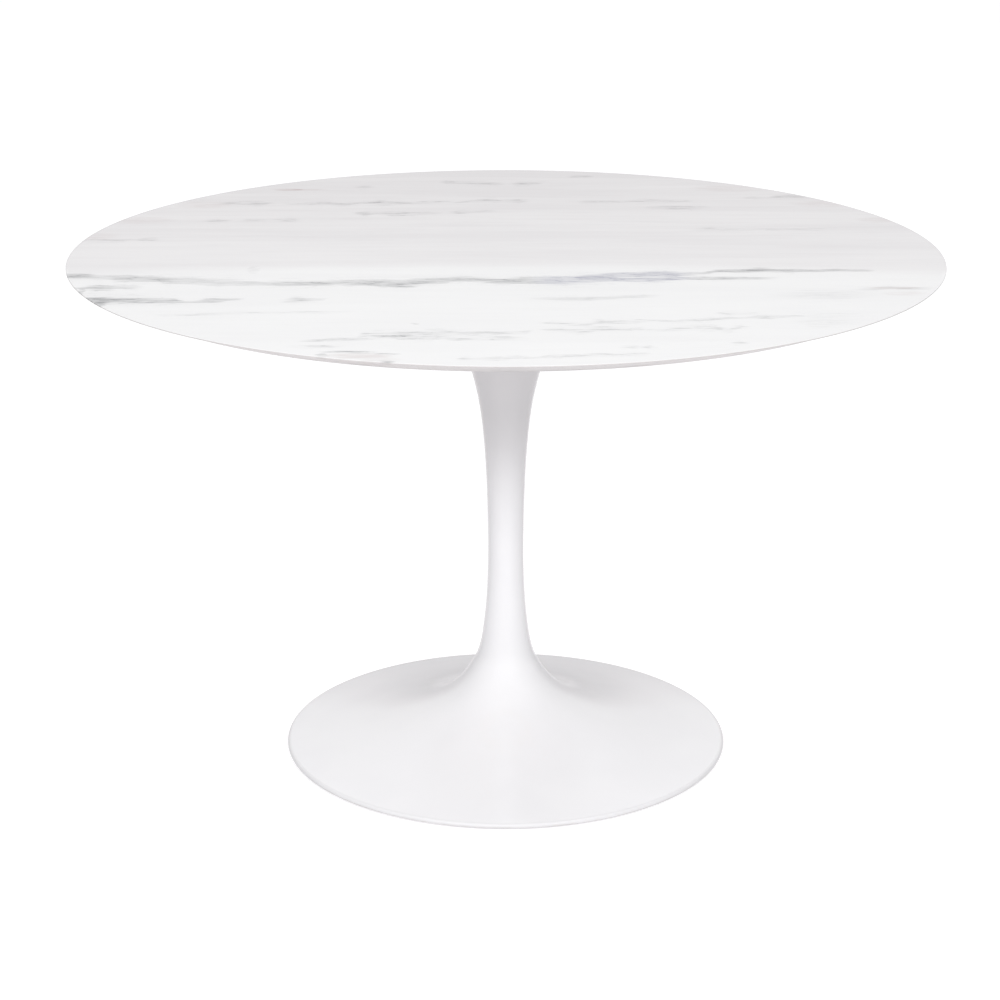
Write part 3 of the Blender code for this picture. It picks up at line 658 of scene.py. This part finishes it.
def powder_material():
    s = Shade("black_powder_coat")
    grain = s.noise(s.coord, 700.0, 3.0, 0.6)
    cloud = s.noise(s.coord, 26.0, 3.0)
    colour = s.mix(s.ramp(cloud, 0.3, 0.7), (0.030, 0.030, 0.032), (0.048, 0.048, 0.050))
    return s.done(colour, s.ramp(grain, 0.3, 0.7, 0.42, 0.60), s.bump(grain, 0.25, 0.0003))


def zinc_material():
    s = Shade("zinc_plated_steel")
    lines = s.noise(s.stretch(s.coord, (1.0, 1.0, 14.0)), 130.0, 4.0, 0.6)
    tint = s.noise(s.coord, 60.0, 3.0)
    colour = s.mix(s.ramp(tint, 0.35, 0.65), (0.60, 0.605, 0.61), (0.50, 0.49, 0.46))
    colour = s.mix(s.ramp(lines, 0.5, 0.8, 0.0, 0.5), colour, (0.36, 0.36, 0.37))
    return s.done(colour, s.ramp(lines, 0.3, 0.7, 0.24, 0.42), s.bump(lines, 0.10, 0.0002), Metallic=1.0)


def brass_material():
    s = Shade("turned_brass")
    rings = s.noise(s.stretch(s.coord, (1.0, 1.0, 30.0)), 120.0, 3.0, 0.6)
    tarnish = s.noise(s.coord, 90.0, 3.0)
    colour = s.mix(s.ramp(tarnish, 0.4, 0.7), (0.72, 0.53, 0.24), (0.52, 0.37, 0.17))
    return s.done(colour, s.ramp(rings, 0.3, 0.7, 0.22, 0.40), s.bump(rings, 0.15, 0.0002), Metallic=1.0)


def rubber_material():
    s = Shade("moulded_rubber")
    grain = s.noise(s.coord, 520.0, 3.0, 0.6)
    bloom = s.noise(s.coord, 18.0, 3.0)
    colour = s.mix(s.ramp(bloom, 0.4, 0.75), (0.020, 0.020, 0.021), (0.045, 0.045, 0.045))
    return s.done(colour, s.ramp(grain, 0.3, 0.7, 0.62, 0.82), s.bump(grain, 0.25, 0.0003))


def nylon_material():
    s = Shade("moulded_nylon")
    grain = s.noise(s.coord, 420.0, 3.0, 0.6)
    scuff = s.noise(s.stretch(s.coord, (1.0, 1.0, 6.0)), 70.0, 4.0, 0.7)
    x, y, z = s.split(s.coord)
    low = s.math("MULTIPLY", s.ramp(z, 0.0016, 0.0002), s.ramp(scuff, 0.45, 0.65))
    colour = s.mix(s.ramp(grain, 0.35, 0.65), (0.27, 0.27, 0.28), (0.32, 0.32, 0.33))
    colour = s.mix(low, colour, (0.44, 0.43, 0.41))
    return s.done(colour, s.ramp(grain, 0.3, 0.7, 0.42, 0.56), s.bump(grain, 0.15, 0.0003))


STONE = stone_material("veined_stone_polished", False)
STONE_HONED = stone_material("veined_stone_honed", True)
ENAMEL = enamel_material()
PRIMER = raw_inside_material()
PLY = ply_material()
POWDER = powder_material()
ZINC = zinc_material()
BRASS = brass_material()
RUBBER = rubber_material()
NYLON = nylon_material()


def piece(ob, mat, body, slot, *nodes):
    ob.data.materials.clear()
    ob.data.materials.append(mat)
    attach(ob, body)
    if nodes:
        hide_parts(*nodes)
    return ob


# ---------------------------------------------------------------- the pieces
# stone top: polished slab, thin softened edge, reverse bevel all round below
stone = lathe("stone_slab", [(0.0, TABLE_H), (0.2, TABLE_H), (0.4, TABLE_H),
                             (0.56, TABLE_H), (0.5955, TABLE_H)]
              + arc(TOP_R - 0.0007, TABLE_H - 0.0007, 0.0007, 90, 0, 6)
              + arc(TOP_R - 0.0008, TABLE_H - LIP_H + 0.0002, 0.0008, 0, -66, 6)
              + [(0.597, 0.72240), (0.590, 0.71985), (0.575, 0.71440), (0.560, 0.70892)]
              + [(BEVEL_IN_R + 0.0035, Z_STONE + 0.00065), (BEVEL_IN_R + 0.0008, Z_STONE + 0.00010),
                 (BEVEL_IN_R - 0.0030, Z_STONE), (0.5, Z_STONE), (0.3, Z_STONE), (0.0, Z_STONE)], 384)
piece(stone, STONE, "table", "veined_stone", "stone_top")
stone.data.materials.append(STONE_HONED)
for poly in stone.data.polygons:
    poly.material_index = 1 if poly.center.z < TABLE_H - 0.0007 else 0

# plywood disc under the stone, bored for the inserts
holes = [(x, y) for _, _, x, y in around(SCREWS, SCREW_PCR, math.radians(30))]
disc = lathe("plywood_disc", [(0.0, Z_DISC_TOP), (0.1, Z_DISC_TOP),
                              (DISC_R - 0.0006, Z_DISC_TOP), (DISC_R, Z_DISC_TOP - 0.0006),
                              (DISC_R, Z_DISC + 0.0026), (DISC_R - 0.0024, Z_DISC + 0.0002),
                              (DISC_R - 0.0030, Z_DISC), (0.1, Z_DISC), (0.0, Z_DISC)], 192)
cut(disc, [rods("c1", holes, 0.0053, 0.0053, Z_DISC - 0.01, Z_DISC_TOP + 0.01)])
piece(disc, PLY, "table", "birch_plywood", "backing_disc")

# steel plate with its tapped boss and countersinks
plate = lathe("steel_plate", [(0.0083, Z_PLATE_TOP), (PLATE_R - 0.0008, Z_PLATE_TOP),
                              (PLATE_R - 0.0002, Z_PLATE_TOP - 0.0002), (PLATE_R, Z_PLATE_TOP - 0.0008),
                              (PLATE_R, Z_PLATE + 0.0008), (PLATE_R - 0.0002, Z_PLATE + 0.0002),
                              (PLATE_R - 0.0008, Z_PLATE), (0.0215, Z_PLATE)]
              + arc(0.0210, Z_PLATE - 0.0030, 0.0030, 90, 180, 5)
              + [(0.0180, Z_PLATE - 0.0138), (0.0168, Z_PLATE - 0.0150), (0.0083, Z_PLATE - 0.0150)],
              192, closed=True)
cut(plate, [rods("c2", holes, 0.0033, 0.0033, Z_PLATE - 0.01, Z_PLATE_TOP + 0.01),
            rods("c3", holes, 0.0079, 0.0032, Z_PLATE - 0.0010, Z_PLATE + 0.0037)])
piece(plate, POWDER, "table", "black_plate", "mounting_plate")

# neck gasket, its edges rounded by the mould
gm = (Z_GASKET + Z_GASKET_TOP) / 2
gasket = lathe("neck_gasket_ring", arc(0.1375, gm, 0.00099, 90, -90, 8)
               + arc(0.1160, gm, 0.00099, -90, -270, 8), 192, closed=True)
piece(gasket, RUBBER, "table", "black_rubber", "neck_gasket")

# the pedestal casting
outer = spline_through(FLARE_TO_RIM, 8)
outer = relax(outer, 10)
fine = spline_through(FLARE_TO_RIM, 4)


def inside_of(curve):
    out = []
    for i, p in enumerate(curve):
        a, b = curve[max(i - 1, 0)], curve[min(i + 1, len(curve) - 1)]
        d = (b - a).normalized()
        n = Vector((d.y, -d.x))
        if n.x > 0:
            n = -n
        out.append(p + n * (0.0055 if p.y > 0.12 else 0.0050))
    return out


inner = inside_of(fine)
bore = [p for p in inner if p.y < 0.6740 and p.y > WEB_Z + WEB_T + 0.004]
under = [p for p in inner if p.y < WEB_Z - 0.004 and p.y > 0.0078]
r_top = bore[-1].x + (bore[-1].x - bore[-2].x) / (bore[-2].y - bore[-1].y) * (bore[-1].y - WEB_Z - WEB_T)
r_low = under[0].x - (under[1].x - under[0].x) / (under[0].y - under[1].y) * (WEB_Z - under[0].y)
out_profile = [(0.1366, Z_FLARE_TOP)]
out_profile += arc(0.1382, Z_FLARE_TOP - 0.0018, 0.0018, 90, -10, 6)
out_profile += [(p.x, p.y) for p in outer[2:]]
out_profile += arc(BASE_R - 0.0042, RIM_Z + 0.0024, 0.0042, 72, 0, 9)
out_profile += arc(BASE_R - 0.0016, RIM_Z + 0.0016, 0.0016, -20, -90, 5)
in_profile = [(BASE_R - 0.0060, RIM_Z)]
in_profile += [(p.x, p.y) for p in reversed(under)]
in_profile += [(r_low - 0.0010, WEB_Z - 0.0014), (r_low - 0.0040, WEB_Z)]
in_profile += [(WEB_HOLE_R + 0.0008, WEB_Z), (WEB_HOLE_R, WEB_Z + 0.0008),
               (WEB_HOLE_R, WEB_Z + WEB_T - 0.0008), (WEB_HOLE_R + 0.0008, WEB_Z + WEB_T)]
in_profile += [(r_top - 0.0040, WEB_Z + WEB_T), (r_top - 0.0010, WEB_Z + WEB_T + 0.0014)]
in_profile += [(p.x, p.y) for p in reversed(bore)]
in_profile += [(bore[0].x - 0.0004, 0.6765), (bore[0].x - 0.0004, Z_FLARE_TOP - 0.0006),
               (bore[0].x + 0.0002, Z_FLARE_TOP)]
casting = lathe("pedestal_casting", out_profile + in_profile, 224, closed=True, smooth_deg=38)
piece(casting, ENAMEL, "table", "white_enamel", "pedestal")
casting.data.materials.append(PRIMER)
n_out = len(out_profile)
for poly in casting.data.polygons:
    ring = poly.index // 224
    poly.material_index = 0 if ring < n_out else 1

# levelling glides, their bosses in the foot and the parts that move
PAD_H = 0.0042
HEX_LOW = PAD_H + GAP
HEX_TOP = HEX_LOW + 0.0030
for label, a in (("front", -math.pi / 2), ("right", 0.0), ("back", math.pi / 2), ("left", math.pi)):
    x, y = GLIDE_PCR * math.cos(a), GLIDE_PCR * math.sin(a)
    x, y = round(x, 9), round(y, 9)
    boss = lathe("cast_boss_" + label, [
        (0.0043, HEX_TOP + GAP + 0.0005), (0.0048, HEX_TOP + GAP),
        (0.0098, HEX_TOP + GAP), (0.0105, HEX_TOP + GAP + 0.0007),
        (0.0108, 0.0120), (0.0116, 0.0150), (0.0128, 0.0168), (0.0128, 0.0178),
        (0.0043, 0.0182)], 64, closed=True, at=(x, y))
    piece(boss, PRIMER, "table", "white_enamel")
    pad = lathe("glide_foot_" + label, [
        (0.0, 0.0012), (0.0040, 0.0012), (0.0042, 0.0014), (0.0042, PAD_H - 0.0002),
        (0.0044, PAD_H), (0.0078, PAD_H)] + arc(0.0078, PAD_H - 0.0008, 0.0008, 90, 20, 4)
        + [(0.0120, 0.0029), (0.0150, 0.0024)] + arc(0.0152, 0.0012, 0.0008, 60, 0, 4)
        + arc(0.0152, 0.0008, 0.0008, 0, -90, 5) + [(0.0120, 0.0), (0.0112, 0.0004), (0.0, 0.0004)],
        96, at=(x, y))
    piece(pad, NYLON, "pad_" + label, "grey_nylon", "glide_pad_" + label)
    stem = threaded("stem", (x, y), HEX_TOP - 0.0002, 0.0185, 0.0040, 0.00125, 0.0006, 40)
    bm = bmesh.new()
    bmesh.ops.create_cone(bm, cap_ends=True, segments=6, radius1=0.013 / math.sqrt(3),
                          radius2=0.013 / math.sqrt(3), depth=0.0030,
                          matrix=Matrix.Translation((x, y, (HEX_LOW + HEX_TOP) / 2)))
    hexagon = finish_mesh("hexagon", bm)
    crown = lathe("crown", [(0.0, HEX_TOP + 0.0002), (0.0058, HEX_TOP + 0.0002), (0.0078, HEX_TOP - 0.0009),
                            (0.0078, HEX_LOW + 0.0009), (0.0058, HEX_LOW - 0.0002), (0.0, HEX_LOW - 0.0002)],
                  64, at=(x, y))
    cut(hexagon, [crown], "INTERSECT")
    neck = lathe("neck", [(0.0, HEX_LOW + 0.0004), (0.0030, HEX_LOW + 0.0004), (0.0030, 0.0028),
                          (0.0036, 0.0024), (0.0036, 0.0020), (0.0030, 0.0015), (0.0, 0.0015)],
                 48, at=(x, y))
    stud = join("glide_screw_" + label, [stem, hexagon, neck])
    piece(stud, ZINC, "stud_" + label, "zinc_steel", "glide_stud_" + label)

# the long rod and its clamp stack under the web
washer_top = WEB_Z - GAP
spring_top = washer_top - 0.0050 - GAP
nut_top = spring_top - 0.0040 - GAP
rod_top = Z_PLATE_TOP - 0.0010
shaft = lathe("shaft", [(0.0, rod_top - 0.0296), (0.0079, rod_top - 0.0296),
                        (0.0079, 0.1240), (0.0, 0.1240)], 64)
upper = threaded("upper", (0, 0), rod_top - 0.0300, rod_top, 0.0080, 0.0020, 0.0010, 48, 0.0012)
lower = threaded("lower", (0, 0), 0.0650, 0.1244, 0.0080, 0.0020, 0.0010, 48, 0.0012)
rod = join("clamp_rod", [shaft, upper, lower])
piece(rod, ZINC, "table", "zinc_steel", "tie_rod")

washer = lathe("plate_washer", [(0.0083, washer_top), (0.0212, washer_top), (0.0218, washer_top - 0.0003),
                                (0.0220, washer_top - 0.0009), (0.0220, washer_top - 0.0042),
                                (0.0217, washer_top - 0.0048), (0.0210, washer_top - 0.0050),
                                (0.0083, washer_top - 0.0050)], 128, closed=True)
piece(washer, ZINC, "table", "zinc_steel", "clamp_washer")

spring = lathe("lock_washer", [(0.0084, spring_top), (0.0132, spring_top), (0.0135, spring_top - 0.0003),
                               (0.0135, spring_top - 0.0037), (0.0132, spring_top - 0.0040),
                               (0.0084, spring_top - 0.0040)], 128, closed=True)
bm = bmesh.new()
bmesh.ops.create_cube(bm, size=1.0, matrix=Matrix.Translation((0.011, 0, spring_top - 0.0020))
                      @ Matrix.Rotation(math.radians(25), 4, "X")
                      @ Matrix.Diagonal((0.009, 0.0016, 0.012, 1)))
cut(spring, [finish_mesh("split", bm)])
piece(spring, ZINC, "table", "zinc_steel", "spring_washer")

bm = bmesh.new()
bmesh.ops.create_cone(bm, cap_ends=True, segments=6, radius1=0.024 / math.sqrt(3),
                      radius2=0.024 / math.sqrt(3), depth=0.0130,
                      matrix=Matrix.Translation((0, 0, nut_top - 0.0065)))
nut = finish_mesh("hex_nut", bm)
crown = lathe("crown", [(0.0, nut_top + 0.0005), (0.0107, nut_top + 0.0005), (0.0150, nut_top - 0.0020),
                        (0.0150, nut_top - 0.0110), (0.0107, nut_top - 0.0135), (0.0, nut_top - 0.0135)], 96)
cut(nut, [crown], "INTERSECT")
cut(nut, [rods("c4", [(0, 0)], 0.0083, 0.0083, nut_top - 0.02, nut_top + 0.01, 64)])
piece(nut, ZINC, "table", "zinc_steel", "clamp_nut")

# small hidden fasteners keep their own shapes
for i in range(1, SCREWS + 1):
    for node, mat in (("insert_%d" % i, BRASS), ("plate_screw_%d" % i, ZINC)):
        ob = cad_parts[node]
        ob.data.materials.clear()
        ob.data.materials.append(mat)

# ----------------------------------------------------------------- the studio
bm = bmesh.new()
bmesh.ops.create_grid(bm, x_segments=8, y_segments=8, size=40.0)
floor = finish_mesh("floor", bm)
s = Shade("pale_floor")
s.bsdf.inputs["Emission Color"].default_value = (1.0, 1.0, 1.0, 1.0)
s.bsdf.inputs["Emission Strength"].default_value = 0.16
mottle = s.noise(s.coord, 3.0, 3.0)
floor.data.materials.append(s.done(
    s.mix(mottle, (0.955, 0.955, 0.955), (0.970, 0.970, 0.970)), 0.75))
# the floor only shows; what it throws back is set by the world's lower half
floor.visible_diffuse = False
floor.visible_shadow = False
floor.visible_glossy = False

world = bpy.data.worlds.new("studio")
scene.world = world
world.use_nodes = True
wt = world.node_tree
for n in list(wt.nodes):
    wt.nodes.remove(n)


def wnode(kind, **props):
    n = wt.nodes.new(kind)
    for k, v in props.items():
        setattr(n, k, v)
    return n


def wlink(a, b):
    wt.links.new(a, b)


def wramp(value, lo, hi, a, b):
    n = wnode("ShaderNodeMapRange", interpolation_type="SMOOTHSTEP")
    wlink(value, n.inputs["Value"])
    n.inputs["From Min"].default_value = lo
    n.inputs["From Max"].default_value = hi
    n.inputs["To Min"].default_value = a
    n.inputs["To Max"].default_value = b
    return n.outputs[0]


def wmath(op, a, b):
    n = wnode("ShaderNodeMath", operation=op)
    for k, v in enumerate((a, b)):
        if isinstance(v, bpy.types.NodeSocket):
            wlink(v, n.inputs[k])
        else:
            n.inputs[k].default_value = v
    return n.outputs[0]


direction = wnode("ShaderNodeTexCoord").outputs["Generated"]
sep = wnode("ShaderNodeSeparateXYZ")
wlink(direction, sep.inputs[0])
# a bright floor that falls off to a greyer horizon, behind the table a pale
# low band under a bright backdrop, a soft ceiling, and dimmer walls to the sides
low = wramp(sep.outputs[2], 0.2222, 0.2250, 0.0, 1.0)
ceiling = wramp(sep.outputs[2], 0.36, 0.62, 0.0, 1.0)
side = wramp(wmath("ABSOLUTE", sep.outputs[0], 0.0), 0.34, 0.84, 1.0, 0.72)
tall = wnode("ShaderNodeMix", data_type="RGBA")
wlink(ceiling, tall.inputs[0])
tall.inputs[6].default_value = (1.005, 1.005, 1.005, 1.0)
tall.inputs[7].default_value = (0.98, 0.98, 0.99, 1.0)
mixc = wnode("ShaderNodeMix", data_type="RGBA")
wlink(low, mixc.inputs[0])
band = wnode("ShaderNodeMix", data_type="RGBA")
wlink(wramp(sep.outputs[2], 0.190, 0.222, 0.0, 1.0), band.inputs[0])
skirt = wnode("ShaderNodeMix", data_type="RGBA")
wlink(wramp(sep.outputs[2], -0.30, -0.05, 0.0, 1.0), skirt.inputs[0])
skirt.inputs[6].default_value = (0.995, 0.971, 0.985, 1.0)
skirt.inputs[7].default_value = (0.585, 0.570, 0.585, 1.0)
horizon = wnode("ShaderNodeMix", data_type="RGBA")
wlink(wramp(sep.outputs[2], 0.080, 0.185, 0.0, 1.0), horizon.inputs[0])
wlink(skirt.outputs[2], horizon.inputs[6])
horizon.inputs[7].default_value = (0.724, 0.686, 0.697, 1.0)
wlink(horizon.outputs[2], band.inputs[6])
band.inputs[7].default_value = (0.802, 0.768, 0.780, 1.0)
wlink(band.outputs[2], mixc.inputs[6])
wlink(tall.outputs[2], mixc.inputs[7])
back = wnode("ShaderNodeBackground")
wlink(mixc.outputs[2], back.inputs["Color"])
wlink(side, back.inputs["Strength"])
plain = wnode("ShaderNodeBackground")
plain.inputs["Color"].default_value = (1.0, 1.0, 1.0, 1.0)
plain.inputs["Strength"].default_value = 1.0
path = wnode("ShaderNodeLightPath")
mixs = wnode("ShaderNodeMixShader")
wlink(path.outputs["Is Camera Ray"], mixs.inputs[0])
wlink(back.outputs[0], mixs.inputs[1])
wlink(plain.outputs[0], mixs.inputs[2])
out = wnode("ShaderNodeOutputWorld")
wlink(mixs.outputs[0], out.inputs["Surface"])


def softbox(name, at, aim, size, power, colour=(1.0, 1.0, 1.0)):
    light = bpy.data.lights.new(name, "AREA")
    light.shape = "RECTANGLE"
    light.size, light.size_y = size
    light.energy = power
    light.color = colour
    ob = bpy.data.objects.new(name, light)
    scene.collection.objects.link(ob)
    ob.location = at
    ob.rotation_euler = (Vector(aim) - Vector(at)).to_track_quat("-Z", "Y").to_euler()
    ob.visible_glossy = False
    return ob


softbox("key_front", (0.0, -4.2, 2.92), (0, 0, 0.35), (8.6, 0.80), 175.0)

# ------------------------------------------------------------------ the camera
cam_data = bpy.data.cameras.new("camera")
cam_data.sensor_fit = "HORIZONTAL"
cam_data.sensor_width = 36.0
cam_data.lens = 94.43
cam_data.clip_end = 200.0
camera = bpy.data.objects.new("camera", cam_data)
scene.collection.objects.link(camera)
camera.location = (-0.0082, -3.5452, 1.5200)
camera.rotation_euler = (math.radians(90.0 - 18.026), 0.0, 0.0)
scene.camera = camera

scene.view_settings.view_transform = "Standard"
scene.view_settings.look = "None"
scene.view_settings.exposure = 0.0
scene.view_settings.gamma = 1.0
